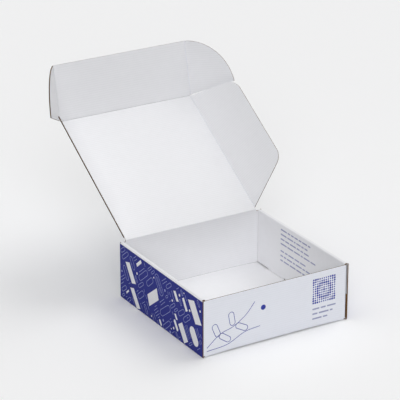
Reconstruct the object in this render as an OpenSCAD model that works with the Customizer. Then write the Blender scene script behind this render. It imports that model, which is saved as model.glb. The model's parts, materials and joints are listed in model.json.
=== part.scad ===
// Roll-end, tuck-front mailer box of fluted board, lid open.
// The tray is one folded sheet: floor, front and back walls with ears, and double
// side walls that roll over the ears and lock into the floor with tabs.
// Millimetres. X runs left to right, the front faces -Y, Z is up, and the origin is
// the centre of the tray's underside.

/* [Box] */
// Outer width of the tray, left to right
box_l = 240; // [180:1:360]
// Outer depth of the tray, front to back
box_w = 231; // [180:1:360]
// Height of the rolled side walls
box_h = 87.5; // [60:0.5:140]
// Thickness of the board
board = 1.6; // [1.2:0.1:2.4]

/* [Folds] */
// Inside radius of a finished fold
fold_r = 0.5; // [0.3:0.1:1.2]
// Room between two layers of board
lap_gap = 0.4; // [0.2:0.1:1]
// Width of the crushed band on each side of a crease that moves
crease_band = 2; // [1.8:0.1:3]
// Thickness of the board at a crease that moves
crease_t = 0.7; // [0.5:0.1:1]
// Radius of the rolled bead along a crease that moves
bead_r = 0.45; // [0.4:0.05:0.6]
// Room between the bead and the flap that turns round it
crease_gap = 0.25; // [0.2:0.05:0.5]

/* [Tray walls] */
// How far the front wall stays below the side walls
front_drop = 1.5; // [1:0.5:5]
// Room between the front or back wall and the ends of the rolled panels
roll_end_gap = 0.4; // [0.3:0.1:3]
// How far the raw corners of the outer panels stay below the roll-over
corner_drop = 0.5; // [0.3:0.1:2]
// How far the rolled panels stand off the floor between their tabs
panel_lift = 1.8; // [0.5:0.1:3]
// Distance left open between the front and back ears inside a side wall
ear_meet_gap = 35; // [10:1:80]
// Slope of the upper and lower edge of a tray ear, in degrees
ear_slope = 3; // [0:0.5:6]
// Height of the tray ears' lower edge above the floor
ear_lift = 1; // [0.5:0.1:4]

/* [Locking tabs] */
// Width of a locking tab
tab_w = 43; // [15:1:50]
// Distance from the end of a rolled panel to its tab
tab_inset = 30; // [10:1:35]
// Room round a tab in its slot
slot_room = 0.3; // [0.2:0.1:0.8]
// Height of a tab's end above the underside
tab_recess = 0.3; // [0.1:0.1:1]

/* [Lid] */
// Opening of the lid from closed, in degrees
open_angle = 148; // [120:1:180]
// Room over the side walls under the closed lid
lid_seat_gap = 0.2; // [0.1:0.1:1]
// Room between the closed tuck flap and the front wall
tuck_front_gap = 0.8; // [0.5:0.1:3]

/* [Lid wings] */
// Fold of the wings out of the lid's plane, in degrees
wing_fold = 60; // [0:1:90]
// Room under the wings in the closed box
wing_floor_gap = 7; // [3:0.5:30]
// Slant of the wings' two ends, in degrees
wing_slant = 23.5; // [10:0.5:35]
// Distance from the lid's hinge to a wing
wing_start = 3.5; // [3:0.5:15]
// Distance from a wing to the tuck flap's crease
wing_stop = 1; // [1:0.5:10]
// Corner radius of a wing near the hinge
wing_hinge_r = 20; // [5:1:28]
// Corner radius of a wing near the tuck flap
wing_tuck_r = 28; // [5:1:32]

/* [Tuck flap] */
// Fold of the tuck flap out of the lid's plane, in degrees
tuck_fold = 45; // [0:1:90]
// Room under the tuck flap in the closed box
tuck_floor_gap = 2; // [1:0.5:20]
// Fold of the tuck flap's ears, in degrees
tuck_ear_fold = 55; // [0:1:90]
// Height of the ear's lower edge at its crease
tuck_ear_start = 1; // [1:0.5:6]
// Slope of the ear's lower edge, in degrees
tuck_ear_slope = 13.5; // [10:0.5:20]
// Height of the centre of the ear's round edge above the tuck crease
tuck_ear_centre = 8; // [7:0.5:20]

/* [Hidden] */
$fn = 64;

board_colour = "whitesmoke";
// Two solids that are joined share this much.
weld = 0.05;

bend_out = fold_r + board;
wall_t = 3 * board + 2 * lap_gap;
wall_in_x = box_l / 2 - wall_t;
wall_in_y = box_w / 2 - board;
tray_ear_x = box_l / 2 - board - lap_gap;
roll_l = 2 * (wall_in_y - roll_end_gap);
tray_ear_l = (box_w - ear_meet_gap) / 2;
front_z = box_h - front_drop;
panel_z = board + panel_lift;
tab_y = roll_l / 2 - tab_inset - tab_w / 2;

hinge_y = box_w / 2 - board / 2;
hinge_z = box_h + lid_seat_gap + board / 2;
tuck_ear_x = wall_in_x - lap_gap - board / 2;
wing_x = tuck_ear_x - lap_gap - board;
lid_l = box_w - 2 * board - tuck_front_gap;
wing_l = hinge_z - board - wing_floor_gap;
tuck_l = hinge_z - board - tuck_floor_gap;
flap_tip = bead_r + crease_gap;

// A quarter of a fold, from the X axis to the Y axis.
module bend_profile() {
    intersection() {
        difference() {
            circle(bend_out);
            circle(fold_r);
        }
        square(bend_out);
    }
}

// Extrudes an X-Z profile along Y, centred.
module along_y(length) {
    rotate([90, 0, 0])
        linear_extrude(length, center = true)
            children();
}

// Extrudes a Y-Z profile along X, centred.
module along_x(length) {
    rotate([90, 0, 90])
        linear_extrude(length, center = true)
            children();
}

// The floor, up to its folds.
module floor_panel() {
    difference() {
        translate([-box_l / 2 + bend_out - weld, -box_w / 2 + bend_out - weld, 0])
            cube([box_l - 2 * bend_out + 2 * weld, box_w - 2 * bend_out + 2 * weld, board]);
        for (side = [-1, 1], end = [-1, 1])
            translate([side * (wall_in_x + board / 2), end * tab_y, board / 2])
                cube([board + 2 * slot_room, tab_w + 2 * slot_room, 2 * board], center = true);
    }
}

// The outer panel of the right side wall, with the fold that joins it to the floor and
// the raw corners beyond the roll-over's ends.
module outer_panel() {
    along_y(box_w) {
        translate([box_l / 2 - board, bend_out - weld])
            square([board, box_h - 2 * bend_out + 2 * weld]);
        translate([box_l / 2 - bend_out, bend_out])
            rotate(-90)
                bend_profile();
    }
    for (end = [0, 1])
        mirror([0, end, 0])
            translate([box_l / 2 - board, roll_l / 2, box_h - bend_out - weld])
                cube([board, (box_w - roll_l) / 2, bend_out - corner_drop + weld]);
}

// The roll-over: two folds, the narrow strip between them and the inner panel.
module rolled_panel() {
    along_y(roll_l) {
        translate([box_l / 2 - bend_out, box_h - bend_out])
            bend_profile();
        translate([wall_in_x + bend_out - weld, box_h - board])
            square([wall_t - 2 * bend_out + 2 * weld, board]);
        translate([wall_in_x + bend_out, box_h - bend_out])
            rotate(90)
                bend_profile();
        translate([wall_in_x, panel_z])
            square([board, box_h - bend_out - panel_z + weld]);
    }
    for (end = [-1, 1])
        translate([0, end * tab_y, 0])
            along_y(tab_w)
                translate([wall_in_x, tab_recess])
                    square([board, panel_z - tab_recess + weld]);
}

module side_wall() {
    outer_panel();
    rolled_panel();
}

// An ear that lies inside the side wall. Its profile is drawn in Y and Z.
module tray_ear() {
    root_y = box_w / 2 - bend_out + weld;
    tip_y = box_w / 2 - tray_ear_l;
    low = board + ear_lift;
    high = box_h - board - lap_gap;
    rise = (root_y - tip_y) * tan(ear_slope);
    translate([tray_ear_x - board / 2, 0, 0])
        along_x(board)
            polygon([[root_y, low], [root_y, high], [tip_y, high - rise], [tip_y, low + rise]]);
}

// The back wall up to a given height, with the folds to the floor and to both ears.
module end_wall(top) {
    along_x(2 * (tray_ear_x - bend_out + weld)) {
        translate([box_w / 2 - board, bend_out - weld])
            square([board, top - bend_out + weld]);
        translate([box_w / 2 - bend_out, bend_out])
            rotate(-90)
                bend_profile();
    }
    for (side = [0, 1])
        mirror([side, 0, 0]) {
            translate([tray_ear_x - bend_out, box_w / 2 - bend_out, board + ear_lift])
                linear_extrude(top - board - ear_lift)
                    bend_profile();
            tray_ear();
        }
}

// The board's section along a line, from stations of [place, thickness].
module board_section(stations) {
    polygon(concat(
        [for (s = stations) [s[0], -s[1] / 2]],
        [for (i = [len(stations) - 1:-1:0]) [stations[i][0], stations[i][1] / 2]]
    ));
}

// The section of a flap, crushed towards its crease and whole at its free edge.
module flap_section(length) {
    board_section([[flap_tip, crease_t], [crease_band, board], [length, board]]);
}

// The section across a panel with a crease at both ends.
module creased_section(half) {
    board_section([[-half, crease_t], [crease_band - half, board], [half - crease_band, board], [half, crease_t]]);
}

// The lid's hinge crease on top of the back wall: the wall thins to a rolled bead.
module hinge_crease() {
    rise = hinge_z - crease_band - front_z + weld;
    along_x(2 * wing_x) {
        translate([hinge_y - board / 2, front_z - weld])
            square([board, rise]);
        translate([hinge_y, hinge_z])
            circle(bead_r);
        translate([hinge_y, hinge_z])
            rotate(-90)
                board_section([[0, crease_t], [crease_band, board]]);
    }
}

module tray() {
    color(board_colour) {
        floor_panel();
        for (side = [0, 1])
            mirror([side, 0, 0])
                side_wall();
        end_wall(front_z);
        mirror([0, 1, 0])
            end_wall(front_z);
        hinge_crease();
    }
}

// The frames of the moving panels. Each panel is drawn flat, inside up, with its
// crease on the local X or Y axis, and is folded up by the given angle.
module lid_frame() {
    translate([0, hinge_y, hinge_z])
        rotate([180 - open_angle, 0, 0])
            children();
}

module tuck_frame() {
    lid_frame()
        translate([0, lid_l, 0])
            rotate([tuck_fold, 0, 0])
                children();
}

module wing_frame() {
    lid_frame()
        translate([wing_x, 0, 0])
            rotate([0, -wing_fold, 0])
                children();
}

module tuck_ear_frame() {
    tuck_frame()
        translate([tuck_ear_x, 0, 0])
            rotate([0, -tuck_ear_fold, 0])
                children();
}

// The lid panel, thinned at its four creases, with the beads of three of them.
module lid() {
    color(board_colour)
        lid_frame() {
            intersection() {
                along_x(2 * wing_x)
                    board_section([
                        [flap_tip, crease_t], [crease_band, board],
                        [lid_l - crease_band, board], [lid_l, crease_t]
                    ]);
                translate([0, lid_l / 2, 0])
                    along_y(lid_l)
                        creased_section(wing_x);
            }
            translate([0, lid_l, 0])
                along_x(2 * wing_x)
                    circle(bead_r);
            for (side = [-1, 1])
                translate([side * wing_x, (lid_l + flap_tip) / 2, 0])
                    along_y(lid_l - flap_tip)
                        circle(bead_r);
        }
}

// Outline of the right wing: X is the distance from its crease, Y from the hinge.
// Each end slants, and the two outer corners are round.
module wing_outline() {
    low = wing_start;
    high = lid_l - wing_stop;
    run = tan(wing_slant);
    low_c = [wing_l - wing_hinge_r, low + (wing_l - wing_hinge_r) * run + wing_hinge_r / cos(wing_slant)];
    high_c = [wing_l - wing_tuck_r, high - (wing_l - wing_tuck_r) * run - wing_tuck_r / cos(wing_slant)];
    polygon([
        [0, low],
        low_c + wing_hinge_r * [sin(wing_slant), -cos(wing_slant)],
        low_c + [wing_hinge_r, 0],
        high_c + [wing_tuck_r, 0],
        high_c + wing_tuck_r * [sin(wing_slant), cos(wing_slant)],
        [0, high]
    ]);
    translate(low_c)
        circle(wing_hinge_r);
    translate(high_c)
        circle(wing_tuck_r);
}

module wing() {
    wing_frame()
        intersection() {
            linear_extrude(board, center = true)
                wing_outline();
            translate([0, lid_l / 2, 0])
                along_y(lid_l)
                    flap_section(wing_l + weld);
        }
}

// The tuck flap, thinned at its crease and at both ears' creases.
module tuck_flap() {
    color(board_colour)
        tuck_frame() {
            intersection() {
                along_x(2 * tuck_ear_x)
                    flap_section(tuck_l);
                translate([0, tuck_l / 2, 0])
                    along_y(tuck_l)
                        creased_section(tuck_ear_x);
            }
            for (side = [-1, 1])
                translate([side * tuck_ear_x, (tuck_l + flap_tip) / 2, 0])
                    along_y(tuck_l - flap_tip)
                        circle(bead_r);
        }
}

// Outline of the right ear: a quarter round over a rising lower edge.
module tuck_ear_outline() {
    ear_r = tuck_l - tuck_ear_centre;
    intersection() {
        translate([0, tuck_ear_centre])
            circle(ear_r);
        translate([0, tuck_ear_start])
            polygon([[0, 0], [tuck_l, tuck_l * tan(tuck_ear_slope)], [tuck_l, tuck_l], [0, tuck_l]]);
    }
}

module tuck_ear() {
    tuck_ear_frame()
        intersection() {
            linear_extrude(board, center = true)
                tuck_ear_outline();
            translate([0, tuck_l / 2, 0])
                along_y(tuck_l)
                    flap_section(tuck_l);
        }
}

module wing_right() {
    color(board_colour)
        wing();
}

module wing_left() {
    color(board_colour)
        mirror([1, 0, 0])
            wing();
}

module tuck_ear_right() {
    color(board_colour)
        tuck_ear();
}

module tuck_ear_left() {
    color(board_colour)
        mirror([1, 0, 0])
            tuck_ear();
}

tray();
lid();
wing_left();
wing_right();
tuck_flap();
tuck_ear_left();
tuck_ear_right();
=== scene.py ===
"""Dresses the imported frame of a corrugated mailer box, and sets its stage.

Every panel is built as real E-flute board: an outer liner, a fluted medium and an
inner liner, cut to the blank's outline and carried along its folds. The flutes run
from side wall to side wall across the blank, so they turn up the side walls and
run level along the lid, the flaps and the front and back walls.
"""

import itertools
import json
import math

import bpy
import numpy as np
from mathutils import Matrix, Vector


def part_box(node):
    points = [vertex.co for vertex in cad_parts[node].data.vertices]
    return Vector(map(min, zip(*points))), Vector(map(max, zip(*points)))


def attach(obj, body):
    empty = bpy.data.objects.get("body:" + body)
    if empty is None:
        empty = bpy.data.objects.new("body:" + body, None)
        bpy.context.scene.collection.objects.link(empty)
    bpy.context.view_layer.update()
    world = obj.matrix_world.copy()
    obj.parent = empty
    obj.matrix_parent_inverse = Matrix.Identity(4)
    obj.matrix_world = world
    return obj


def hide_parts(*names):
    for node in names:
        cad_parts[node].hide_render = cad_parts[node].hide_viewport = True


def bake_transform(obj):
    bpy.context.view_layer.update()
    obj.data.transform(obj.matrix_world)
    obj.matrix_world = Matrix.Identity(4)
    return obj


bl_info = {
    "name": "Corrugated mailer box",
    "version": (1, 0, 0),
    "blender": (4, 5, 0),
    "location": "3D View > Sidebar > Mailer box",
    "description": "Builds an open mailer box of printed E-flute board",
    "category": "Object",
}

MM = 0.001

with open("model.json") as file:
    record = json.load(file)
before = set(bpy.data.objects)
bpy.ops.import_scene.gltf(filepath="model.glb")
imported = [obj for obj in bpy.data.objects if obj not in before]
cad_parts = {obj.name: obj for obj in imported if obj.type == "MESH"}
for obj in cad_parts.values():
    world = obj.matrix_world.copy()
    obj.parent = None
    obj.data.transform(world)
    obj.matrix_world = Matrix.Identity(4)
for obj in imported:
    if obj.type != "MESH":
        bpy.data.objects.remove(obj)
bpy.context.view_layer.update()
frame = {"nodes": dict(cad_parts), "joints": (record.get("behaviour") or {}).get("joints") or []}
JOINTS = {joint["name"]: joint for joint in frame["joints"]}
TRAY_LOW, TRAY_HIGH = (np.array(corner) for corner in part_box("tray"))
X = np.array([1.0, 0.0, 0.0])
DOWN = np.array([0.0, 0.0, -1.0])

# Grids: the liners' cells, a flute's and a crease's, and what counts as the same place
LINER_STEP, FLUTE_STEPS, CREASE_STEP, NEAR = 2.2 * MM, 6, 12 * MM, 0.001 * MM
# Edges that meet at more degrees than this stay sharp
SHARP = 40
# A crease's strip, from its line to where it starts to bend and to its ends
CREASE_TURN, CREASE_TAIL = 0.6 * MM, 1.0 * MM
# Half the strip's thickness as a share of the crease's, and a level strip under the liner
CREASE_HALF, LEVEL_GAP = 0.46, 0.03 * MM
# A wing's or ear's shortest row, and where its first and an ear's last row are
TIP, TIP_TRIM, RIM_TRIM = 1.2 * MM, 0.6 * MM, 0.15 * MM
# How high the kraft brown of the gap's painted shade reaches, as a share of the wall
BROWN_SHADE_SHARE = 0.47
# Radians off the axis at which a capsule's round end is cut, so that it has no pole
TIP_TURN = 0.15
LAMP_DISTANCE = 3.0


class Panel:
    """A flat panel's own axes: a goes away from its crease, b along it, n to the inside."""

    def __init__(self, origin, away, along, inside):
        self.origin = np.array(origin)
        self.away, self.along, self.inside = away, along, inside

    def at(self, a, b, n=0.0):
        """Points of the row frame: origin + a * away + b * along + n * inside."""
        a, b, n = np.broadcast_arrays(a, b, n)
        return (
            self.origin
            + a[..., None] * self.away
            + b[..., None] * self.along
            + n[..., None] * self.inside
        )

    def reach(self, node):
        """How far a frame node stretches away from the panel's crease."""
        vertices = frame["nodes"][node].data.vertices
        points = np.empty(3 * len(vertices))
        vertices.foreach_get("co", points)
        return ((points.reshape(-1, 3) - self.origin) @ self.away).max()


def folded_panel(joint, base, side):
    """A panel that folds out of its base's plane by its joint's way to flat."""
    fold = math.radians(JOINTS[joint]["range_deg"][1])
    return Panel(
        JOINTS[joint]["pos_m"],
        math.cos(fold) * side * X + math.sin(fold) * base.inside,
        base.away,
        math.cos(fold) * base.inside - math.sin(fold) * side * X,
    )


def lifted_panel(joint, away):
    """A panel whose crease runs along X."""
    away = np.array(away)
    return Panel(JOINTS[joint]["pos_m"], away, X, np.cross(X, away))


LID = lifted_panel("lid_hinge", JOINTS["wing_right_crease"]["axis"])
TUCK = lifted_panel("tuck_crease", JOINTS["tuck_ear_right_crease"]["axis"])
SIDES = {"left": -1, "right": 1}
WINGS = {k: folded_panel(f"wing_{k}_crease", LID, s) for k, s in SIDES.items()}
EARS = {k: folded_panel(f"tuck_ear_{k}_crease", TUCK, s) for k, s in SIDES.items()}
LID_LENGTH = float(np.linalg.norm(TUCK.origin - LID.origin))


def length(title, words, value):
    """A size property, given in mm and kept in metres."""
    return bpy.props.FloatProperty(
        name=title, description=words, default=value * MM, precision=5, unit="LENGTH"
    )


def angle(title, words, degrees):
    """An angle property, written in degrees."""
    return bpy.props.FloatProperty(
        name=title, description=words, default=math.radians(degrees), unit="ROTATION"
    )


def number(title, words, value):
    """A plain number."""
    return bpy.props.FloatProperty(name=title, description=words, default=value)


def lamp(title, words, values):
    """A lamp: its strength, then azimuth, elevation and spread in degrees."""
    words += ": strength, azimuth, elevation, spread"
    return bpy.props.FloatVectorProperty(
        name=title, description=words, size=4, default=values
    )


def colour(title, words, value):
    """A colour property, an sRGB hex value."""
    return bpy.props.StringProperty(name=title, description=words, default=value)


class BoardSizes(bpy.types.PropertyGroup):
    """The E-flute board and its folds."""

    thickness: length("Board", "Thickness of the finished board", 1.6)
    liner: length("Liner", "Thickness of each liner", 0.24)
    medium: length("Medium", "Thickness of the fluted medium", 0.2)
    pitch: length("Flute pitch", "Distance from flute to flute", 3.37)
    fold_radius: length("Fold radius", "Inside radius of a finished fold", 0.5)
    lap_gap: length("Lap gap", "Room between two layers of board", 0.4)
    crease_band: length("Crease band", "Crushed width beside a crease", 1.4)
    crease_thickness: length("Crease", "Thickness of board at a crease", 0.7)
    crease_gap: length("Crease gap", "Half width of the flat crease", 0.5)


class TraySizes(bpy.types.PropertyGroup):
    """The tray's walls, tabs and ears."""

    seat_gap: length("Seat gap", "Room under the closed lid", 0.2)
    front_drop: length("Front drop", "Front wall below the side walls", 1.5)
    roll_end_gap: length("Roll end gap", "Room beside the rolled panels", 0.4)
    corner_drop: length("Corner drop", "Raw corner below the roll-over", 0.5)
    panel_lift: length("Panel lift", "Rolled panel above the floor", 1.8)
    ear_gap: length("Ear gap", "Room between the ears in a side wall", 35.0)
    ear_slope: angle("Ear slope", "Slope of an ear's edges", 3.0)
    ear_lift: length("Ear lift", "Ear above the floor", 1.0)
    tab_width: length("Tab width", "Width of a locking tab", 43.0)
    tab_inset: length("Tab inset", "Tab from the rolled panel's end", 30.0)
    slot_room: length("Slot room", "Room round a tab in its slot", 0.3)
    tab_recess: length("Tab recess", "Tab's end above the underside", 0.3)
    bulge: length("Bulge", "How far a side wall bows out", 0.7)
    rise: length("Rise", "How far the front and back folds bow up", 2.2)
    soft_corner: length("Soft corner", "Extra radius of the front right corner", 1.9)
    # Width of the painted shade on the right wall's inside behind its front raw edge
    gap_shade_width: length("Worn edge", "Width of the worn strip behind a raw edge", 4.4)


class FlapSizes(bpy.types.PropertyGroup):
    """The lid's wings and the tuck flap's ears."""

    wing_slant: angle("Wing slant", "Slant of a wing's two ends", 23.5)
    wing_start: length("Wing start", "From the hinge to a wing", 3.5)
    wing_stop: length("Wing stop", "From a wing to the tuck crease", 1.3)
    wing_hinge_radius: length("Hinge corner", "Wing corner near the hinge", 20)
    wing_tuck_radius: length("Tuck corner", "Wing corner near the tuck", 28)
    ear_start: length("Ear start", "Height of an ear's foot", 1.0)
    ear_slope: angle("Ear foot slope", "Slope of an ear's foot", 13.5)
    ear_centre: length("Ear centre", "Height of the round edge's centre", 8.0)
    sag: length("Sag", "How far the lid's middle bows", 0.5)


class PrintSizes(bpy.types.PropertyGroup):
    """The printed fields and line ornaments."""

    film: length("Ink film", "Height of a printed motif", 0.03)
    line: length("Line", "Width of the front ornament's lines", 0.9)
    side_line: length("Side line", "Width of the side motifs' lines", 0.75)
    rule: length("Rule", "Height of a small pale pill", 2.2)
    square: length("Square", "Width of the dotted square", 39)
    clearance: length("Clearance", "Room between two side motifs", 1.3)
    top_margin: length("Top margin", "Bare board over the blue field", 3.2)
    margin: length("Margin", "Motifs to the blue field's edge", 0.8)
    seed: bpy.props.IntProperty(
        name="Seed", description="Lays out the side walls' motifs", default=12
    )


class BoxColours(bpy.types.PropertyGroup):
    """The finishes' colours."""

    liner: colour("White liner", "Bleached, coated liner", "#F3F3F5")
    # The outer liner's cooler tint is painted light: the cool cast of the fill light on the
    # front
    outer: colour("Outer liner", "The sheet's outer face, a little cooler", "#F1F3FA")
    # Grey of painted shade: the middle of creases and floor folds, and the front right corner's
    # gap
    shade_grey: colour("Score", "The liner's tone along a score line", "#BFBEBE")
    kraft: colour("Kraft", "Unbleached paper at the raw edges", "#806040")
    ink: colour("Blue ink", "Solid blue field", "#262E8E")
    tint: colour("Tint", "Lighter blue of the fine lines on the field", "#9CA4DA")
    line_ink: colour("Line ink", "Blue line ornament", "#333FA6")
    pale: colour("Pale ink", "Pale grey blue of the small rules", "#9FA3C4")
    floor: colour("Floor", "Matt white studio floor", "#FCFCFC")
    daylight: colour("Daylight", "Cool tint of the fill light", "#FBFCFF")


class StageSettings(bpy.types.PropertyGroup):
    """Camera and light."""

    aim: bpy.props.FloatVectorProperty(
        name="Aim",
        description="Point at the picture's centre",
        default=(-0.02196, 0.05453, 0.15356),
        precision=5,
        unit="LENGTH",
    )
    azimuth: angle("Azimuth", "Camera's turn about the box", -30.97)
    elevation: angle("Elevation", "Camera's height above level", 22.69)
    distance: length("Distance", "Camera to its aim", 3048)
    lens: number("Lens", "Focal length in mm on a 36 mm sensor", 192.3)
    floor_size: length("Floor", "Width of the floor", 8000)
    dome: number("Dome", "Light of the overhead dome", 1.3)
    key: lamp("Key", "Soft light from the right", (0.58, 90.0, 55.0, 35.0))
    fill: lamp("Fill", "Soft light beside the camera", (1.06, -30.0, 30.0, 35.0))
    rim: lamp("Rim", "Low soft light from the right", (0.36, 110.0, 30.0, 35.0))


def linear(hex_value):
    """sRGB hex to linear RGBA."""
    srgb = [int(hex_value[i : i + 2], 16) / 255 for i in (1, 3, 5)]
    return [c / 12.92 if c <= 0.04045 else ((c + 0.055) / 1.055) ** 2.4 for c in srgb] + [1]


def add_node(tree, kind, settings=None, links=None):
    """Adds a shader node, sets its properties and inputs, and links its inputs to
    sockets or to nodes' first outputs. An input whose source is None stays unlinked."""
    node = tree.nodes.new("ShaderNode" + kind)
    for key, value in (settings or {}).items():
        if isinstance(key, str) and hasattr(node, key):
            setattr(node, key, value)
        else:
            node.inputs[key].default_value = value
    for key, source in (links or {}).items():
        if source is not None:
            tree.links.new(getattr(source, "outputs", [source])[0], node.inputs[key])
    return node


def empty_tree(owner):
    """The node tree of a material or a world, with nothing in it."""
    owner.use_nodes = True
    owner.node_tree.nodes.clear()
    return owner.node_tree


def washboard(tree, board):
    """A wave with the flutes' pitch, read across the flutes from the board's own map."""
    place = add_node(tree, "UVMap", {"uv_map": "board"})
    split = add_node(tree, "SeparateXYZ", links={0: place})
    factor = {"operation": "MULTIPLY", 1: 2 * math.pi / board.pitch}
    turns = add_node(tree, "Math", factor, {0: split.outputs["Y"]})
    return add_node(tree, "Math", {"operation": "SINE"}, {0: turns})


def mottle(tree, size, detail):
    """Noise on Object coordinates whose grains are about the given size."""
    place = add_node(tree, "TexCoord").outputs["Object"]
    settings = {"Scale": 1 / size, "Detail": detail}
    return add_node(tree, "TexNoise", settings, {"Vector": place})


def paper(name, board, hex_value, roughness, gloss, patterns):
    """Paper whose colour and face follow patterns, each a grain, a tone and a bump: the
    size and detail of a noise, or none for the washboard; the span it is mapped from and
    the one it is mapped to, by which the colour is scaled; and its strength and height."""
    material = bpy.data.materials.new(name)
    tree = empty_tree(material)
    dyed, face = None, None
    for grain, tone, bump in patterns:
        pattern = mottle(tree, *grain) if grain else washboard(tree, board)
        if tone:
            spans = dict(zip(("From Min", "From Max", "To Min", "To Max"), tone))
            shade = add_node(tree, "MapRange", spans, {"Value": pattern})
            scaled = {"operation": "SCALE", 0: linear(hex_value)[:3]}
            dyed = add_node(tree, "VectorMath", scaled, {0: dyed, "Scale": shade})
        if bump:
            raised = {"Strength": bump[0], "Distance": bump[1]}
            face = add_node(tree, "Bump", raised, {"Height": pattern, "Normal": face})
    shader = add_node(
        tree,
        "BsdfPrincipled",
        {"Roughness": roughness, "IOR": 1.45, "Specular IOR Level": gloss},
        {"Base Color": dyed, "Normal": face},
    )
    add_node(tree, "OutputMaterial", links={0: shader})
    return material


def liner(hex_value, roughness, band, cloud, gloss=0.3):
    """Paper over flutes: its fibres as a fine bump, the sheet's formation as a soft
    cloud, and the washboard as a faint ripple and a faint band of tone."""
    patterns = (
        ((0.7 * MM, 5.0), None, (0.25, 0.02 * MM)),
        ((9 * MM, 3.0), (0.3, 0.7, 1 - cloud, 1.0), None),
        (None, (-1.0, 1.0, 1 - band, 1.0), (1.0, 0.025 * MM)),
    )
    return hex_value, roughness, gloss, patterns


def materials(scene):
    """The box's finishes, made once, in the order of their numbers."""
    hues = scene.mailer_colours
    # Fibres with darker pores between them, and the wide patches of mixed pulp
    raw = (
        ((0.5 * MM, 6.0), (0.3, 0.7, 0.72, 1.12), (0.6, 0.05 * MM)),
        ((7 * MM, 3.0), (0.35, 0.65, 0.88, 1.08), None),
    )
    recipes = {
        # Bleached, lightly coated liner: matt and clean, with the flutes just showing
        "bleached_liner": liner(hues.liner, 0.62, 0.03, 0.015),
        # The outer face's liner, tinted cooler: a painted cool cast of the fill light on the
        # front
        "outer_liner_painted_cool_light": liner(hues.outer, 0.6, 0.03, 0.015),
        # A dull grey liner that paints shade: in the middle of creases and floor folds, and in
        # the front right corner's gap
        "painted_shade_liner": liner(hues.shade_grey, 0.8, 0.0, 0.1),
        # Flexo ink printed solid on the liner: smoother, and mottled over the flutes
        "flexo_blue_field": liner(hues.ink, 0.5, 0.1, 0.08, 0.15),
        # The same ink in fine lines on bare liner
        "flexo_blue_line": liner(hues.line_ink, 0.5, 0.06, 0.08),
        # Screened tints of it: the fine lines on the field, and the small rules
        "flexo_blue_tint": liner(hues.tint, 0.5, 0.1, 0.08, 0.15),
        "flexo_pale_blue": liner(hues.pale, 0.55, 0.06, 0.06),
        # Unbleached kraft of the die-cut edges and the fluted medium: rough and fibrous
        "raw_kraft": (hues.kraft, 0.92, 0.2, raw),
    }
    return [
        bpy.data.materials.get(name) or paper(name, scene.mailer_board, *recipe)
        for name, recipe in recipes.items()
    ]


# OUTER_PAINTED_COOL marks the outer liner with a painted cool cast of the fill light
# PAINTED_SHADE marks a grey of painted shade
LINER, OUTER_PAINTED_COOL, PAINTED_SHADE, FIELD, LINE, TINT, PALE, KRAFT = range(8)
# The left flaps' cut edges show bare kraft, whose darkness also paints the shade on the box's
# left side; the right ones keep the white liner
FLAP_CUTS = {"left": KRAFT, "right": LINER}


def shell(points, normals, low, high, faces, across, keep=None):
    """Closed skin over a grid: every point goes to point + offset * normal, at a low
    and a high offset, and walls join the two along the edge of the kept cells.
    faces gives the finish of the high side, the low side and the walls."""
    rows, columns = points.shape[:2]
    keep = np.ones((rows - 1, columns - 1), bool) if keep is None else keep
    low, high, across = (np.broadcast_to(v, (rows, columns)) for v in (low, high, across))
    count = rows * columns
    index = np.arange(count).reshape(rows, columns)
    corners = [index[:-1, :-1], index[1:, :-1], index[1:, 1:], index[:-1, 1:]]
    outer = np.pad(keep, 1)
    beyond = [outer[1:-1, :-2], outer[2:, 1:-1], outer[1:-1, 2:], outer[:-2, 1:-1]]
    top = np.stack([c[keep] for c in corners], 1)
    finish = [np.broadcast_to(f, keep.shape)[keep] for f in faces[:2]]
    quads, marks = [top, top[:, ::-1] + count], finish
    for k in range(4):
        edge = keep & ~beyond[k]
        start, end = corners[k][edge], corners[(k + 1) % 4][edge]
        quads.append(np.stack([start + count, end + count, end, start], 1))
        marks.append(np.full(len(start), faces[2]))
    quads, marks = np.concatenate(quads), np.concatenate(marks)
    turn = np.cross(
        points[1:, :-1] - points[:-1, :-1], points[:-1, 1:] - points[:-1, :-1]
    )
    if (turn * normals[:-1, :-1]).sum() < 0:
        quads = quads[:, ::-1]
    skin = np.concatenate(
        [
            (points + normals * high[..., None]).reshape(-1, 3),
            (points + normals * low[..., None]).reshape(-1, 3),
        ]
    )
    along = np.cumsum(
        np.pad(np.linalg.norm(np.diff(points, axis=0), axis=2), ((1, 0), (0, 0))), axis=0
    )
    place = np.stack([along, across], -1).reshape(-1, 2)
    used, new = np.unique(quads, return_inverse=True)
    return skin[used], new.reshape(quads.shape), marks, np.tile(place, (2, 1))[used]


def put(name, body, shells, scene, replaces=True):
    """Joins shells into one mesh object that rides on a body, and stands in for the
    body's own CAD node unless it only lies on it."""
    counts = np.cumsum([0] + [len(s[0]) for s in shells])
    points, marks, place = (np.concatenate([s[k] for s in shells]) for k in (0, 2, 3))
    quads = np.concatenate([s[1] + c for s, c in zip(shells, counts)])
    mesh = bpy.data.meshes.new(name)
    mesh.vertices.add(len(points))
    mesh.vertices.foreach_set("co", points.ravel().astype(np.float32))
    mesh.loops.add(quads.size)
    mesh.loops.foreach_set("vertex_index", quads.ravel().astype(np.int32))
    mesh.polygons.add(len(quads))
    mesh.polygons.foreach_set("loop_start", np.arange(0, quads.size, 4, dtype=np.int32))
    used, index = np.unique(marks, return_inverse=True)
    finishes = materials(scene)
    for mark in used:
        mesh.materials.append(finishes[mark])
    mesh.polygons.foreach_set("material_index", index.ravel().astype(np.int32))
    mesh.update(calc_edges=True)
    mesh.uv_layers.new(name="board").data.foreach_set(
        "uv", place[quads.ravel()].ravel().astype(np.float32)
    )
    mesh.shade_smooth()
    mesh.set_sharp_from_angle(angle=math.radians(SHARP))
    piece = bpy.data.objects.new(name, mesh)
    scene.collection.objects.link(piece)
    if body:
        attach(piece, body)
    if body and replaces:
        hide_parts(body)
    return piece


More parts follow.
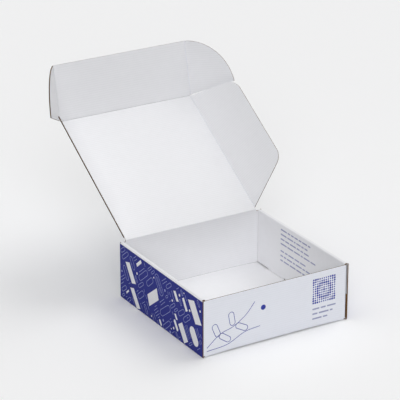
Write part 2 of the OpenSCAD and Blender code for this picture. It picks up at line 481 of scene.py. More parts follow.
def stations(low, high, step, breaks=()):
    """Even places from low to high, with the breaks in their order among them."""
    count = max(2, int(round((high - low) / step)) + 1)
    even = np.linspace(low, high, count)
    breaks = np.array([b for b in breaks if low < b < high])
    if len(breaks):
        even = even[np.abs(even[:, None] - breaks).min(axis=1) > step / 4]
    return np.unique(np.concatenate([even, breaks, [low, high]]))


def board_shells(surface, low, high, breaks, board, ink=None, tone=None, cut=LINER):
    """Three plies over a surface: two liners, and between them the medium, whose height
    is a sine of the distance across the flutes. surface(across) gives points, normals,
    thickness and the kept cells; ink says which cells carry it, tone gives the inside's
    finish, and cut is the finish of the liners' cut edges."""
    across = stations(low, high, board.pitch / FLUTE_STEPS, breaks)
    points, normals, thickness, keep = surface(across)
    ply = board.medium / 2
    swing = np.maximum(thickness / 2 - board.liner - ply, 0)
    wave = swing * np.sin(2 * math.pi * across / board.pitch)
    shells = [shell(points, normals, wave - ply, wave + ply, (KRAFT,) * 3, across, keep)]
    across = stations(low, high, LINER_STEP, breaks)
    points, normals, thickness, keep = surface(across)
    half = thickness / 2
    # Faces without ink take the outer liner, with its painted cool cast of light
    outside = OUTER_PAINTED_COOL if ink is None else np.where(ink(across), FIELD, LINER)
    inside = LINER if tone is None else tone(across)
    for base, roof, faces in (
        (half - board.liner, half, (inside, KRAFT, cut)),
        (-half, board.liner - half, (KRAFT, outside, cut)),
    ):
        shells.append(shell(points, normals, base, roof, faces, across, keep))
    return shells


def crushed(distance, board):
    """Board thickness near a crease: from the crease's to the whole board's by the
    smooth step t * t * (3 - 2 * t)."""
    t = (distance - board.crease_gap) / (board.crease_band - board.crease_gap)
    t = np.clip(t, 0, 1)
    spare = board.thickness - board.crease_thickness
    return board.crease_thickness + spare * t * t * (3 - 2 * t)


def arc(centre, radius, start, end, count=7):
    """Points and inward normals on an arc from one angle to another, in degrees."""
    turn = np.radians(np.linspace(start, end, count))
    out = np.stack([np.cos(turn), np.sin(turn)], 1)
    return np.array(centre) + radius * out, -out


def straight(start, end, normal, count=2):
    """Points on a straight stretch, with its normal."""
    t = np.linspace(0, 1, count)[:, None]
    points = (1 - t) * np.array(start) + t * np.array(end)
    return points, np.tile(np.array(normal, float), (count, 1))


def chain(parts):
    """Joins stretches end to end, and names the stretch that each interval is in."""
    points, normals, names = [parts[0][1][0][:1]], [parts[0][1][1][:1]], []
    for name, (place, normal) in parts:
        skip = np.allclose(place[0], points[-1][-1], atol=1e-7)
        points.append(place[skip:])
        normals.append(normal[skip:])
        names += [name] * (len(place) - skip)
    return np.concatenate(points), np.concatenate(normals), np.array(names)


class TrayPlan:
    """The tray's lines, worked out from the frame and the board."""

    def __init__(self, scene):
        board, tray = scene.mailer_board, scene.mailer_tray
        self.t = board.thickness
        self.mid = board.fold_radius + self.t / 2
        self.bend = board.fold_radius + self.t
        self.half_length = TRAY_HIGH[0]
        self.half_width = -TRAY_LOW[1]
        self.top = LID.origin[2] - self.t / 2 - tray.seat_gap
        self.front_top = self.top - tray.front_drop
        self.inner_x = self.half_length - 2.5 * self.t - 2 * board.lap_gap
        self.ear_x = self.half_length - 1.5 * self.t - board.lap_gap
        self.roll_y = self.half_width - self.t - tray.roll_end_gap
        self.floor_y = self.half_width - self.bend
        self.panel_z = self.t + tray.panel_lift
        self.slot = self.t / 2 + tray.slot_room
        middle = self.roll_y - tray.tab_inset - tray.tab_width / 2
        self.tab = (middle - tray.tab_width / 2, middle + tray.tab_width / 2)
        self.slot_y = (self.tab[0] - tray.slot_room, self.tab[1] + tray.slot_room)
        self.bulge, self.rise, self.soft = tray.bulge, tray.rise, tray.soft_corner

    def lift(self, x, y):
        """How far the floor bows off its table: nothing at the side walls and in the
        middle, most along the front and back folds."""
        across = np.clip(1 - (x / self.half_length) ** 4, 0, 1)
        return self.rise * across * np.clip(np.abs(y) / self.floor_y, 0, 1) ** 6

    def corner(self, end, side):
        """Middle radius of an upright corner fold: the front right one is softer."""
        return self.mid + (self.soft if (end, side) == (-1, 1) else 0)

    def bow(self, y, z):
        """How far a side wall's outer panel stands out at a place on it."""
        across = np.clip(1 - (y / self.half_width) ** 2, 0, 1)
        up = np.clip(z / self.top, 0, 1)
        return self.bulge * across * np.sin(math.pi * up)


def side_sheet(plan, board, tray):
    """The blank from one inner panel, over the roll, down the outer panel, across the
    floor and up again. Its section is straight stretches and quarter folds."""
    t, m, inner = plan.t, plan.mid, plan.inner_x
    edge, roof = plan.half_length - plan.bend, plan.top - plan.bend
    far, wall = inner + m, plan.half_length - t / 2
    slot_in, slot_out = inner - plan.slot, inner + plan.slot
    section = [
        ("floor", straight((0, t / 2), (slot_in, t / 2), (0, 1), 12)),
        ("slot", straight((slot_in, t / 2), (slot_out, t / 2), (0, 1))),
        ("floor", straight((slot_out, t / 2), (edge, t / 2), (0, 1))),
        ("low_fold", arc((edge, plan.bend), m, -90, 0)),
        ("wall", straight((wall, plan.bend), (wall, roof), (-1, 0), 12)),
        ("roll", arc((edge, roof), m, 0, 90)),
        ("roll", straight((edge, roof + m), (far, roof + m), (0, -1))),
        ("roll", arc((far, roof), m, 90, 180)),
        ("roll", straight((inner, roof), (inner, plan.panel_z), (1, 0), 6)),
        ("tab", straight((inner, plan.panel_z), (inner, tray.tab_recess), (1, 0))),
    ]
    points, normals, names = chain(section)
    flip = np.array([-1, 1])
    points = np.concatenate([points[:0:-1] * flip, points])
    normals = np.concatenate([normals[:0:-1] * flip, normals])
    names = np.concatenate([names[::-1], names])

    def keep_cells(across):
        y = np.abs((across[1:] + across[:-1]) / 2)
        in_slot = (y > plan.slot_y[0]) & (y < plan.slot_y[1])
        rules = {
            "floor": y < plan.floor_y,
            "slot": (y < plan.floor_y) & ~in_slot,
            "low_fold": y < plan.half_width,
            "wall": y < plan.half_width,
            "roll": y < plan.roll_y,
            "tab": (y > plan.tab[0]) & (y < plan.tab[1]),
        }
        return np.stack([rules[name] for name in names])

    def surface(across):
        y, x = np.meshgrid(across, points[:, 0])
        z = np.repeat(points[:, 1:], len(across), axis=1)
        out = np.repeat(normals[:, None, :], len(across), axis=1)
        bow = plan.bow(y, z) * (np.abs(x) > wall - NEAR) * np.sign(x)
        low = (np.abs(x) < edge + NEAR) & (z < t)
        grid = np.stack([x + bow, y, z + low * plan.lift(x, y)], -1)
        up = np.stack([out[..., 0], np.zeros_like(x), out[..., 1]], -1)
        return grid, up, np.full(x.shape, t), keep_cells(across)

    def ink(across):
        """The outer panels' outsides and the outer half of their folds are printed."""
        height = (points[1:, 1] + points[:-1, 1]) / 2
        outer = np.minimum(np.abs(points[1:, 0]), np.abs(points[:-1, 0])) > edge + m / 2
        printed = outer & (height < roof) & (names != "roll") & (names != "tab")
        return np.repeat(printed[:, None], len(across) - 1, axis=1)

    def tone(across):
        """The right wall's inside along its front edge, seen in the front right corner's gap, is
        painted shade: kraft brown in the lower part and shade grey above."""
        x, height = ((points[1:, k] + points[:-1, k]) / 2 for k in (0, 1))
        front = (across[1:] + across[:-1]) / 2 < tray.gap_shade_width - plan.half_width
        gap_shaded = ((names == "wall") & (x > 0))[:, None] & front
        # Painted shade of the gap: kraft brown low down, grey above
        gap_shade = np.where(height < BROWN_SHADE_SHARE * plan.top, KRAFT, PAINTED_SHADE)[:, None]
        return np.where(gap_shaded, gap_shade, LINER)

    marks = np.array([*plan.tab, *plan.slot_y, plan.roll_y, plan.floor_y])
    breaks = np.concatenate([-marks, marks])
    ends = -plan.half_width, plan.half_width
    return board_shells(surface, *ends, breaks, board, ink, tone, KRAFT)


def raw_corners(plan, board, tray):
    """The outer panels' four raw corners beyond the roll-over's ends."""
    shells = []
    heights = np.array([plan.top - plan.bend, plan.top - tray.corner_drop])
    for side, end in itertools.product((-1, 1), repeat=2):

        def surface(across, side=side, end=end):
            y, z = np.meshgrid(across, heights)
            x = np.full(y.shape, side * (plan.half_length - plan.t / 2))
            grid = np.stack([x, end * y, z], -1)
            normal = np.broadcast_to(-side * X, grid.shape)
            return grid, normal, np.full(y.shape, plan.t), None

        shells += board_shells(surface, plan.roll_y, plan.half_width, (), board, cut=KRAFT)
    return shells


def end_wall_shells(plan, board, end):
    """The front or back wall with its fold to the floor; the back wall goes on to the
    hinge, where the board is crushed."""
    back, top, hinge_z = end > 0, plan.front_top, LID.origin[2]
    turn = math.pi / 2 * plan.mid
    above = hinge_z - board.crease_gap if back else top
    total = turn + above - plan.bend
    wall_y, wing_x = plan.half_width - plan.t / 2, abs(WINGS["right"].origin[0])
    sides = [side * (plan.ear_x - plan.corner(end, side)) for side in (-1, 1)]
    x = np.linspace(*sides, 21)
    breaks = [turn * k / 4 for k in range(1, 5)]
    if back:
        x = np.unique(np.concatenate([x, [-wing_x, wing_x]]))
        breaks += [turn + top - plan.bend, total - board.crease_band + board.crease_gap]

    def surface(across):
        fold = np.clip(across / turn, 0, 1) * math.pi / 2
        rise = np.maximum(across - turn, 0)
        z = plan.bend - plan.mid * np.cos(fold) + rise
        grid = np.empty((len(x), len(across), 3))
        grid[..., 0] = x[:, None]
        grid[..., 1] = end * np.where(rise > 0, wall_y, plan.floor_y + plan.mid * np.sin(fold))
        grid[..., 2] = z + plan.lift(grid[..., 0], wall_y) * (1 - z / plan.top)
        normal = np.zeros_like(grid)
        normal[..., 1], normal[..., 2] = -end * np.sin(fold), np.cos(fold)
        thick = np.broadcast_to(crushed(hinge_z - z, board), grid.shape[:2])
        middle_x, middle_z = np.abs(x[1:] + x[:-1]) / 2, (z[1:] + z[:-1]) / 2
        keep = (middle_z < top) | (middle_x[:, None] < wing_x)
        return grid + normal * ((plan.t - thick) / 2)[..., None], normal, thick, keep

    def tone(across):
        """The middle half of the fold's inside is painted shade: a grey line where the wall
        meets the floor.
        """
        middle = (across[1:] + across[:-1]) / 2
        shaded = (middle > 0.25 * turn) & (middle < 0.75 * turn)
        return np.tile(np.where(shaded, PAINTED_SHADE, LINER), (len(x) - 1, 1))

    return board_shells(surface, 0.0, total, breaks, board, tone=tone)


def wall_ear_shells(plan, board, tray, end, side):
    """An ear inside a side wall, with its corner fold. Both long edges slope."""
    radius, ear_x = plan.corner(end, side), plan.ear_x
    corner_y = plan.half_width - plan.t / 2 - radius
    fold = arc((ear_x - radius, corner_y), radius, 90, 0)
    flat = straight((ear_x, corner_y), (ear_x, tray.ear_gap / 2), (-1, 0), 8)
    points, inward, _ = chain([("fold", fold), ("ear", flat)])
    low, high = plan.t + tray.ear_lift, plan.top - plan.t - board.lap_gap
    slope = np.maximum(corner_y - points[:, 1], 0) * math.tan(tray.ear_slope)
    in_fold = points[:, 0] < ear_x - NEAR
    bottom = low + slope
    ceiling = np.where(in_fold, min(plan.front_top, high), high - slope)
    ways = np.array([side, end])
    normal = np.pad(ways * inward, ((0, 0), (0, 1)))[:, None]

    def surface(across):
        share = across / (high - low)
        z = bottom[:, None] + (ceiling - bottom)[:, None] * share
        level = np.broadcast_to((ways * points)[:, None], (*z.shape, 2))
        grid = np.concatenate([level, z[..., None]], -1)
        return grid, np.broadcast_to(normal, grid.shape), np.full(z.shape, plan.t), None

    return board_shells(surface, 0.0, high - low, (), board)


def flap_shells(panel, reach, low, high, breaks, board, cut):
    """A flat flap that starts crushed at its crease and ends at reach(b), with its
    flutes running away from the crease."""
    # Rows from the crease to the edge, close together where the board is crushed
    shares = np.array([0, 0.004, 0.008, 0.012, 0.018, 0.05, 0.2, 0.4, 0.6, 0.8, 1])

    def surface(across):
        end = reach(across)
        a = board.crease_gap + shares[:, None] * (end - board.crease_gap)
        grid = panel.at(a, np.broadcast_to(across, a.shape))
        normal = np.broadcast_to(panel.inside, grid.shape)
        return grid, normal, crushed(a, board), None

    return board_shells(surface, low, high, breaks, board, cut=cut)


def crossed_shells(panel, half_x, long, board, sag=0.0, far_crease=False):
    """A panel whose flutes run along X, with creases at both X ends, at its own crease
    and, if asked, at its far edge. Then its own crease is crushed from outside only.
    It bows outwards by sag * sin(pi * a / long) * cos(pi * b / width)."""
    band = np.linspace(board.crease_gap, board.crease_band, 5)
    x = np.concatenate([band - half_x, np.linspace(-0.8, 0.8, 9) * half_x, half_x - band])
    x = np.sort(x)
    last = long - board.crease_gap if far_crease else long

    def surface(across):
        a, b = np.meshgrid(across, x)
        near = np.minimum(a, half_x - np.abs(b))
        n = -sag * np.sin(math.pi * a / long) * np.cos(math.pi * b / (2 * half_x))
        if far_crease:
            near = np.minimum(near, long - a)
            n += (board.thickness - crushed(a, board)) / 2
        grid = panel.at(a, b, n)
        normal = np.broadcast_to(panel.inside, grid.shape)
        return grid, normal, crushed(near, board), None

    breaks = (*band, *(long - band))
    return board_shells(surface, board.crease_gap, last, breaks, board)


def crease_shell(panel, low, high, into_base, board, level):
    """The crushed board across a panel's crease: a quadratic curve between two short
    straight stretches, carried along the crease. A level crease is crushed from outside
    only and shows as an edge, another has a grey band of painted shade in its middle."""
    t = np.linspace(0, 1, 9)[:, None]
    curve = ((1 - t) ** 2 * into_base + t**2 * panel.away) * CREASE_TURN
    path = np.concatenate([[into_base * CREASE_TAIL], curve, [panel.away * CREASE_TAIL]])
    normal = np.cross(panel.along, np.gradient(path, axis=0))
    normal /= np.linalg.norm(normal, axis=1, keepdims=True)
    along = stations(low, high, CREASE_STEP)
    grid = panel.origin + path[:, None, :] + along[:, None] * panel.along
    half = board.crease_thickness * CREASE_HALF
    top = board.thickness / 2 - LEVEL_GAP if level else half
    middle = np.abs(np.arange(len(path) - 1) - (len(path) - 2) / 2) < 2
    # A grey band of painted shade in the middle of a crease that is not level
    inside = np.where(middle & (not level), PAINTED_SHADE, LINER)[:, None]
    normals = np.broadcast_to(normal[:, None], grid.shape)
    # The crease's outer side takes the outer liner, with its painted cool cast of light
    return shell(grid, normals, -half, top, (inside, OUTER_PAINTED_COOL, KRAFT), along)


def wing_reach(flaps, long):
    """A wing's length at each distance from the hinge, with slanted ends and round
    corners; then the distances where it starts and stops, and its corners' centres."""
    run, share = math.tan(flaps.wing_slant), math.cos(flaps.wing_slant)
    low, high = flaps.wing_start, LID_LENGTH - flaps.wing_stop
    corners = [
        (base + sign * ((long - radius) * run + radius / share), radius, sign)
        for sign, base, radius in (
            (1, low, flaps.wing_hinge_radius),
            (-1, high, flaps.wing_tuck_radius),
        )
    ]

    def reach(b):
        result = np.minimum(np.minimum((b - low) / run, (high - b) / run), long)
        for centre, radius, sign in corners:
            off = sign * (centre - b)
            on = (off > 0) & (off < radius * share)
            round_part = long - radius + np.sqrt(np.maximum(radius**2 - off**2, 0))
            result = np.where(on, round_part, result)
        return np.maximum(result, TIP)

    return reach, low + TIP_TRIM, high - TIP_TRIM, [corner[0] for corner in corners]


def ear_reach(flaps, long):
    """An ear's length at each height: a rising foot, then a quarter round."""
    radius = long - flaps.ear_centre

    def reach(b):
        foot = (b - flaps.ear_start) / math.tan(flaps.ear_slope)
        rim = np.sqrt(np.maximum(radius**2 - (b - flaps.ear_centre) ** 2, 0))
        return np.maximum(np.minimum(foot, rim), TIP)

    return reach


def direction(azimuth, elevation):
    """Unit vector to a place round the box: azimuth 0 is the front, 90 degrees +X."""
    flat = math.cos(elevation)
    return Vector((math.sin(azimuth) * flat, -math.cos(azimuth) * flat, math.sin(elevation)))


class BoxOperator:
    """What the box's operators share."""

    bl_options = {"REGISTER", "UNDO"}

    def execute(self, context):
        self.build(context.scene)
        return {"FINISHED"}


class MAILER_OT_stage(BoxOperator, bpy.types.Operator):
    """Sets the floor, the dome, the lamps and the camera"""

    bl_idname = "mailer.stage"
    bl_label = "Stage"

    def build(self, scene):
        stage, hues = scene.mailer_stage, scene.mailer_colours
        scene.view_settings.view_transform = "Standard"
        self.floor(scene, stage, hues)
        self.dome(scene, stage, hues)
        for name in ("key", "fill", "rim"):
            hue = linear(hues.daylight if name == "fill" else "#FFFFFF")[:3]
            self.lamp(scene, name, hue, *getattr(stage, name))
        self.camera(scene, stage)

    def floor(self, scene, stage, hues):
        """A wide matt floor at the box's underside."""
        half = stage.floor_size / 2
        mesh = bpy.data.meshes.new("studio_floor")
        corners = [(-half, -half, 0), (half, -half, 0), (half, half, 0), (-half, half, 0)]
        mesh.from_pydata(corners, [], [(0, 1, 2, 3)])
        material = bpy.data.materials.new("matt_studio_floor")
        tree = empty_tree(material)
        shader = add_node(tree, "BsdfDiffuse", {"Color": linear(hues.floor)})
        add_node(tree, "OutputMaterial", links={0: shader})
        mesh.materials.append(material)
        floor = bpy.data.objects.new("studio_floor", mesh)
        scene.collection.objects.link(floor)

    def dome(self, scene, stage, hues):
        """Light that is strongest overhead and fades with the cube of the height towards
        the horizon, as under a large soft box; the camera sees the floor's own colour."""
        world = bpy.data.worlds.new("soft_dome")
        scene.world = world
        tree = empty_tree(world)
        place = add_node(tree, "TexCoord").outputs["Generated"]
        light = add_node(tree, "SeparateXYZ", links={0: place}).outputs["Z"]
        steps = {"MAXIMUM": 0.0, "POWER": 3.0, "MULTIPLY": stage.dome}
        for operation, value in steps.items():
            light = add_node(tree, "Math", {"operation": operation, 1: value}, {0: light})
        lit = add_node(tree, "Background", {"Color": (1, 1, 1, 1)}, {"Strength": light})
        seen = add_node(tree, "Background", {"Color": linear(hues.floor), "Strength": 1.0})
        camera_ray = add_node(tree, "LightPath").outputs["Is Camera Ray"]
        mix = add_node(tree, "MixShader", links={0: camera_ray, 1: lit, 2: seen})
        add_node(tree, "OutputWorld", links={0: mix})

    def lamp(self, scene, name, hue, strength, azimuth, elevation, spread):
        """A broad, soft lamp far away, turned towards the box."""
        light = bpy.data.lights.new(name, "SUN")
        light.color, light.energy, light.angle = hue, strength, math.radians(spread)
        back = direction(math.radians(azimuth), math.radians(elevation))
        item = bpy.data.objects.new(name, light)
        item.rotation_mode = "QUATERNION"
        item.rotation_quaternion = (-back).to_track_quat("-Z", "Y")
        item.location = back * LAMP_DISTANCE
        scene.collection.objects.link(item)

    def camera(self, scene, stage):
        """A long lens at the photograph's angle, aimed a little over the tray."""
        back = direction(stage.azimuth, stage.elevation)
        right = Vector((0, 0, 1)).cross(back).normalized()
        rotation = Matrix((right, back.cross(right), back)).transposed()
        data = bpy.data.cameras.new("camera")
        data.sensor_width, data.lens = 36, stage.lens
        camera = bpy.data.objects.new("camera", data)
        place = Matrix.Translation(Vector(stage.aim) + back * stage.distance)
        camera.matrix_world = place @ rotation.to_4x4()
        scene.collection.objects.link(camera)
        scene.camera = camera


class MAILER_OT_tray(BoxOperator, bpy.types.Operator):
    """Builds the tray: floor, front and back walls, ears and rolled side walls"""

    bl_idname = "mailer.tray"
    bl_label = "Tray"

    def build(self, scene):
        board, tray, plan = scene.mailer_board, scene.mailer_tray, TrayPlan(scene)
        plies = zip(("medium", "inner_liner", "outer_liner"), side_sheet(plan, board, tray))
        pieces = {f"side_to_side_{name}": [skin] for name, skin in plies}
        pieces["raw_corners"] = raw_corners(plan, board, tray)
        ends = {"front": -1, "back": 1}
        for name, end in ends.items():
            pieces[f"{name}_wall"] = end_wall_shells(plan, board, end)
        for name, end in ends.items():
            for side_name, side in SIDES.items():
                ear = wall_ear_shells(plan, board, tray, end, side)
                pieces[f"{name}_ear_{side_name}"] = ear
        for name, shells in pieces.items():
            put(name, "tray", shells, scene)


class MAILER_OT_lid(BoxOperator, bpy.types.Operator):
    """Builds the lid panel"""

    bl_idname = "mailer.lid"
    bl_label = "Lid"

    def build(self, scene):
        half, sag = abs(WINGS["right"].origin[0]), scene.mailer_flaps.sag
        skin = crossed_shells(LID, half, LID_LENGTH, scene.mailer_board, sag, True)
        put("lid_panel", "lid", skin, scene)


class MAILER_OT_wings(BoxOperator, bpy.types.Operator):
    """Builds the two dust wings of the lid"""

    bl_idname = "mailer.wings"
    bl_label = "Wings"

    def build(self, scene):
        board, flaps = scene.mailer_board, scene.mailer_flaps
        for name, panel in WINGS.items():
            node = f"wing_{name}"
            shape = wing_reach(flaps, panel.reach(node))
            skin = flap_shells(panel, *shape, board, FLAP_CUTS[name])
            put(f"{node}_panel", node, skin, scene)


class MAILER_OT_tuck_flap(BoxOperator, bpy.types.Operator):
    """Builds the tuck flap"""

    bl_idname = "mailer.tuck_flap"
    bl_label = "Tuck flap"

    def build(self, scene):
        half, long = abs(EARS["right"].origin[0]), TUCK.reach("tuck_flap")
        skin = crossed_shells(TUCK, half, long, scene.mailer_board)
        put("tuck_flap_panel", "tuck_flap", skin, scene)


class MAILER_OT_tuck_ears(BoxOperator, bpy.types.Operator):
    """Builds the tuck flap's two ears"""

    bl_idname = "mailer.tuck_ears"
    bl_label = "Tuck ears"

    def build(self, scene):
        board, flaps = scene.mailer_board, scene.mailer_flaps
        long = TUCK.reach("tuck_flap")
        shape = ear_reach(flaps, long), flaps.ear_start + TIP_TRIM, long - RIM_TRIM, ()
        for name, panel in EARS.items():
            node = f"tuck_ear_{name}"
            skin = flap_shells(panel, *shape, board, FLAP_CUTS[name])
            put(f"{node}_panel", node, skin, scene)


class MAILER_OT_creases(BoxOperator, bpy.types.Operator):
    """Builds the crushed board across the creases that move"""

    bl_idname = "mailer.creases"
    bl_label = "Creases"

    def build(self, scene):
        start, wing_x = scene.mailer_flaps.wing_start, abs(WINGS["right"].origin[0])
        stop, tuck_long = LID_LENGTH - MM, TUCK.reach("tuck_flap")
        lines = {
            "lid_crease": ("tray", "lid", LID, -wing_x, wing_x, DOWN),
            "tuck_crease": ("lid", "tuck_flap", TUCK, -wing_x, wing_x, -LID.away),
        }
        for name, side in SIDES.items():
            inward = -side * X
            wing, ear = f"wing_{name}", f"tuck_ear_{name}"
            lines[f"wing_crease_{name}"] = ("lid", wing, WINGS[name], start, stop, inward)
            lines[f"ear_crease_{name}"] = ("tuck_flap", ear, EARS[name], MM, tuck_long, inward)
        for name, (base, flap, panel, low, high, into_base) in lines.items():
            level = name == "lid_crease"
            skin = crease_shell(panel, low, high, into_base, scene.mailer_board, level)
            strip = put(name, None, [skin], scene)
            start, end = (tuple(panel.origin + w * CREASE_TURN) for w in (into_base, panel.away))
            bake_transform(strip)


def ribbon(centre, half_width):
    """A flat stroke: a centre line, and its half width to each side."""
    tangent = np.gradient(centre, axis=0)
    tangent /= np.linalg.norm(tangent, axis=1, keepdims=True)
    side = np.stack([-tangent[:, 1], tangent[:, 0]], 1) * np.reshape(half_width, (-1, 1))
    return np.stack([centre - side, centre + side], 1)


def turned(points, degrees, place=(0.0, 0.0)):
    """Turns flat points about their origin and moves them."""
    c, s = math.cos(math.radians(degrees)), math.sin(math.radians(degrees))
    return points @ np.array([[c, s], [-s, c]]) + np.array(place)


def slab(long, wide, slant=0.0):
    """A filled bar along X with slanted ends."""
    x = np.linspace(-0.5, 0.5, 3 + int(long / MM)) * long
    shape = ribbon(np.stack([x, 0 * x], 1), np.full(len(x), wide / 2))
    shape[..., 0] += slant * shape[..., 1]
    return shape


def pill(long, wide):
    """A filled capsule along X: half its width is r * sin(turn) in the round ends."""
    r = wide / 2
    turn = np.linspace(TIP_TURN, math.pi / 2, 5)
    end, cap = (long / 2 - r) + r * np.cos(turn), r * np.sin(turn)
    run = np.linspace(-end[-1], end[-1], 2 + int((long - wide) / MM))[1:-1]
    x = np.concatenate([-end, run, end[::-1]])
    half = np.concatenate([cap, np.full(len(run), r), cap[::-1]])
    return ribbon(np.stack([x, 0 * x], 1), half)


def disc(across):
    """A filled disc: a capsule with next to no straight run."""
    return pill(across, across * 0.999)


def pill_outline(long, wide, line):
    """The outline of a capsule, as one closed stroke."""
    r, half = wide / 2, (long - wide) / 2
    turn = np.linspace(-math.pi / 2, math.pi / 2, 9)
    cap = np.stack([half + r * np.cos(turn), r * np.sin(turn)], 1)
    run = np.linspace(half, -half, 10)[1:-1]
    side = np.stack([run, np.full(len(run), r)], 1)
    loop = np.concatenate([cap, side, -cap, -side, cap[:1]])
    return ribbon(loop, np.full(len(loop), line / 2))


def curve_line(points, line, count=60):
    """A smooth stroke through a few points, by Catmull-Rom curves."""
    p = np.array(points, float)
    p = np.concatenate([[2 * p[0] - p[1]], p, [2 * p[-1] - p[-2]]])
    u = np.linspace(0, len(p) - 3 - 1e-9, count)
    k, t = u.astype(int), (u % 1)[:, None]
    a, b, c, d = (p[k + i] for i in range(4))
    path = 0.5 * (
        2 * b + (c - a) * t + (2 * a - 5 * b + 4 * c - d) * t**2
        + (3 * b - a - 3 * c + d) * t**3
    )
    return ribbon(path, np.full(count, line / 2))


def inlay(name, motifs, place, normal, film, scene):
    """Ink film: flat motifs with their inks, raised off the board by place(u, v)."""
    shells = []
    for shape, ink in motifs:
        grid = place(shape[..., 0], shape[..., 1])
        normals = np.broadcast_to(normal, grid.shape)
        shells.append(shell(grid, normals, 0.0, film, (ink, ink, ink), shape[..., 1]))
    return put(name, "tray", shells, scene, replaces=False)


def spread(shape, count):
    """A stroke's grid with more columns, evenly spread from one edge to the other."""
    share = np.linspace(0, 1, count)[:, None]
    return (1 - share) * shape[:, :1] + share * shape[:, -1:]


def side_motifs(sizes, wide, tall):
    """Slanted bars, capsules, outlines and dots, from large to small. Each takes the
    first free place that it finds, inside the field and clear of the earlier ones."""
    rng = np.random.default_rng(sizes.seed)
    row, widest_gap, narrowest, lean = 4.2 * MM, 1.7 * MM, 3.2 * MM, 0.35

    def solid(low, high):
        long = rng.uniform(low, high) * MM
        thick = long * rng.uniform(0.28, 0.5)
        shapes = [slab(long, thick, lean), pill(long, thick), slab(long, thick)]
        return [(spread(shapes[rng.integers(3)], 7), LINER)]

    def outlines(low, high):
        long = rng.uniform(low, high) * MM
        thick = max(long * rng.uniform(0.25, 0.4), narrowest)
        rims = np.arange(thick, widest_gap, -2 * row)
        return [(pill_outline(long - thick + r, r, sizes.side_line), TINT) for r in rims]

    def strokes(low, high):
        long = rng.uniform(low, high) * MM
        rows = rng.integers(1, 4)
        line = slab(long, sizes.side_line)
        return [(line + [0, row * (k - rows / 2)], TINT) for k in range(rows)]

    def spot(low, high):
        across = rng.uniform(low, high) * MM
        return [(disc(across), (LINER, TINT)[rng.integers(2)])]

    # Each kind of motif: how many places it tries, and its shortest and longest in mm
    plan = (
        (solid, 9, 26, 42),
        (solid, 16, 9, 20),
        (outlines, 160, 30, 52),
        (outlines, 400, 14, 28),
        (strokes, 400, 12, 34),
        (spot, 60, 2.2, 4.5),
        (outlines, 700, 7, 13),
        (strokes, 1200, 4, 11),
    )
    cell = 0.7 * MM
    reach = math.ceil(sizes.clearance / cell)
    size = np.array([wide, tall])
    taken = np.zeros(np.ceil(size / cell).astype(int) + 1, bool)
    offsets = np.stack(np.mgrid[-reach : reach + 1, -reach : reach + 1], -1).reshape(-1, 2)
    motifs = []
    for maker, tries, low, high in plan:
        for _ in range(tries):
            slant = rng.choice([38.0, -57.0]) + rng.uniform(-2, 2)
            centre = rng.uniform(-0.5, 0.5, 2) * size
            group = [(turned(shape, slant, centre), ink) for shape, ink in maker(low, high)]
            points = np.concatenate([spread(shape, 15).reshape(-1, 2) for shape, _ in group])
            if (np.abs(points) > size / 2).any():
                continue
            cells = ((points + size / 2) / cell).astype(int)
            if taken[tuple(cells.T)].any():
                continue
            motifs += group
            near = (cells[:, None] + offsets).reshape(-1, 2).clip(0, np.array(taken.shape) - 1)
            taken[tuple(near.T)] = True
    return motifs


class MAILER_OT_side_print(BoxOperator, bpy.types.Operator):
    """Prints plain motifs on the side walls' blue fields"""

    bl_idname = "mailer.side_print"
    bl_label = "Side print"

    def build(self, scene):
        sizes, plan = scene.mailer_print, TrayPlan(scene)
        low, high = sizes.margin, plan.top - sizes.top_margin
        wide = 2 * (plan.half_width - sizes.margin)
        motifs = side_motifs(sizes, wide, high - low)
        for name, side in SIDES.items():

            def place(u, v, side=side):
                y, z = side * u, v + (low + high) / 2
                fold = np.maximum(plan.bend - z, 0)
                inset = plan.bend - np.sqrt(plan.bend**2 - fold**2)
                x = side * (plan.half_length - inset + plan.bow(y, z))
                return np.stack([x, y, z], -1)

            inlay(f"side_motifs_{name}", motifs, place, side * X, sizes.film, scene)


class MAILER_OT_front_print(BoxOperator, bpy.types.Operator):
    """Prints a sprig, a spot, a dotted square and small rules on the front wall"""

    bl_idname = "mailer.front_print"
    bl_label = "Front print"

    def build(self, scene):
        sizes, plan = scene.mailer_print, TrayPlan(scene)
        motifs = self.sprig(sizes) + self.dotted_square(sizes) + self.rules(sizes)

        def place(u, v):
            return np.stack([u, np.full(u.shape, -plan.half_width), v], -1)

        normal = np.array([0.0, -1.0, 0.0])
        inlay("front_ornament", motifs, place, normal, sizes.film, scene)

    def sprig(self, sizes):
        """A rising stem with outlined leaves, a ground line, and one solid spot."""
        stem = np.array([(-113, 14), (-92, 30), (-70, 37), (-50, 50), (-36, 66)]) * MM
        ground = np.array([(-113, 9), (-80, 12), (-52, 24), (-27, 27)]) * MM
        leaves = ((-98, 37, 112), (-84, 23, -35), (-73, 49, 100), (-57, 33, -28))
        shapes = [curve_line(stem, sizes.line), curve_line(ground, sizes.line)]
        for x, z, tilt in leaves:
            leaf = pill_outline(21 * MM, 8.5 * MM, sizes.line)
            shapes.append(turned(leaf, tilt, (x * MM, z * MM)))
        shapes.append(pill(8 * MM, 7.99 * MM) + np.array([-22, 54]) * MM)
        return [(shape, LINE) for shape in shapes]

    def dotted_square(self, sizes):
        """Dots on a square lattice, larger and smaller in rings 3.2 steps apart."""
        count, centre = 11, np.array([79, 57]) * MM
        step = sizes.square / count
        ticks = (np.arange(count) - (count - 1) / 2) * step
        dots = []
        for x, z in itertools.product(ticks, ticks):
            ring = math.cos(2 * math.pi * math.hypot(x, z) / (3.2 * step))
            dots.append((disc(step * (0.76 + 0.16 * ring)) + ([x, z] + centre), LINE))
        return dots

    def rules(self, sizes):
        """Rows of pale pills under the square."""
        rows = ((30, (12, 9, 15)), (22.5, (9, 17, 5)), (15, (16, 8)))
        return pill_rows(rows, 60, 1, sizes.rule)


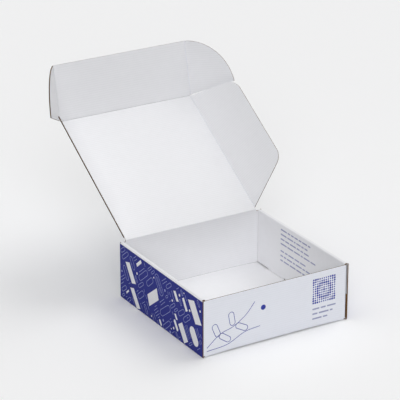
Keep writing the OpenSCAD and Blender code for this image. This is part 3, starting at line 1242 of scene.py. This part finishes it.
def pill_rows(rows, start, way, thick, gap=1.8):
    """Rows of pills, from a start towards one way, with a word's gap between them, all
    in mm but for the pills' thickness."""
    pills = []
    for height, lengths in rows:
        at = start
        for long in lengths:
            centre = np.array([at + way * long / 2, height]) * MM
            pills.append((pill(long * MM, thick) + centre, PALE))
            at += way * (long + gap)
    return pills


class MAILER_OT_inside_print(BoxOperator, bpy.types.Operator):
    """Prints rows of plain pale pills on the right inner panel"""

    bl_idname = "mailer.inside_print"
    bl_label = "Inside print"

    def build(self, scene):
        sizes, plan = scene.mailer_print, TrayPlan(scene)
        rng = np.random.default_rng(sizes.seed)
        x = plan.inner_x - plan.t / 2

        def place(u, v):
            return np.stack([np.full(u.shape, x), u, v], -1)

        heights = (79, 71.5, 64, 56.5, 45, 37.5, 30)
        rows = [(z, rng.uniform(5, 17, rng.integers(5, 9))) for z in heights]
        inlay("inside_rules", pill_rows(rows, 51, -1, sizes.rule), place, -X, sizes.film, scene)


GROUPS = {
    "mailer_board": BoardSizes,
    "mailer_tray": TraySizes,
    "mailer_flaps": FlapSizes,
    "mailer_print": PrintSizes,
    "mailer_colours": BoxColours,
    "mailer_stage": StageSettings,
}
OPERATORS = (
    MAILER_OT_stage,
    MAILER_OT_tray,
    MAILER_OT_lid,
    MAILER_OT_wings,
    MAILER_OT_tuck_flap,
    MAILER_OT_tuck_ears,
    MAILER_OT_creases,
    MAILER_OT_side_print,
    MAILER_OT_front_print,
    MAILER_OT_inside_print,
)


class MAILER_PT_sidebar(bpy.types.Panel):
    """Lists the box's operators in the order in which they run"""

    bl_idname = "MAILER_PT_sidebar"
    bl_label = "Mailer box"
    bl_space_type = "VIEW_3D"
    bl_region_type = "UI"
    bl_category = "Mailer box"

    def draw(self, context):
        for operator in OPERATORS:
            self.layout.operator(operator.bl_idname)


def register():
    """Registers the classes and hangs their settings on the scene."""
    for item in (*GROUPS.values(), *OPERATORS, MAILER_PT_sidebar):
        bpy.utils.register_class(item)
    for name, group in GROUPS.items():
        setattr(bpy.types.Scene, name, bpy.props.PointerProperty(type=group))


def unregister():
    """Takes everything off again."""
    for name in GROUPS:
        delattr(bpy.types.Scene, name)
    for item in (MAILER_PT_sidebar, *reversed(OPERATORS), *reversed(GROUPS.values())):
        bpy.utils.unregister_class(item)


def main():
    """Builds the box piece by piece."""
    register()
    for operator in OPERATORS:
        getattr(bpy.ops.mailer, operator.bl_idname.split(".")[1])()


if __name__ == "__main__":
    main()
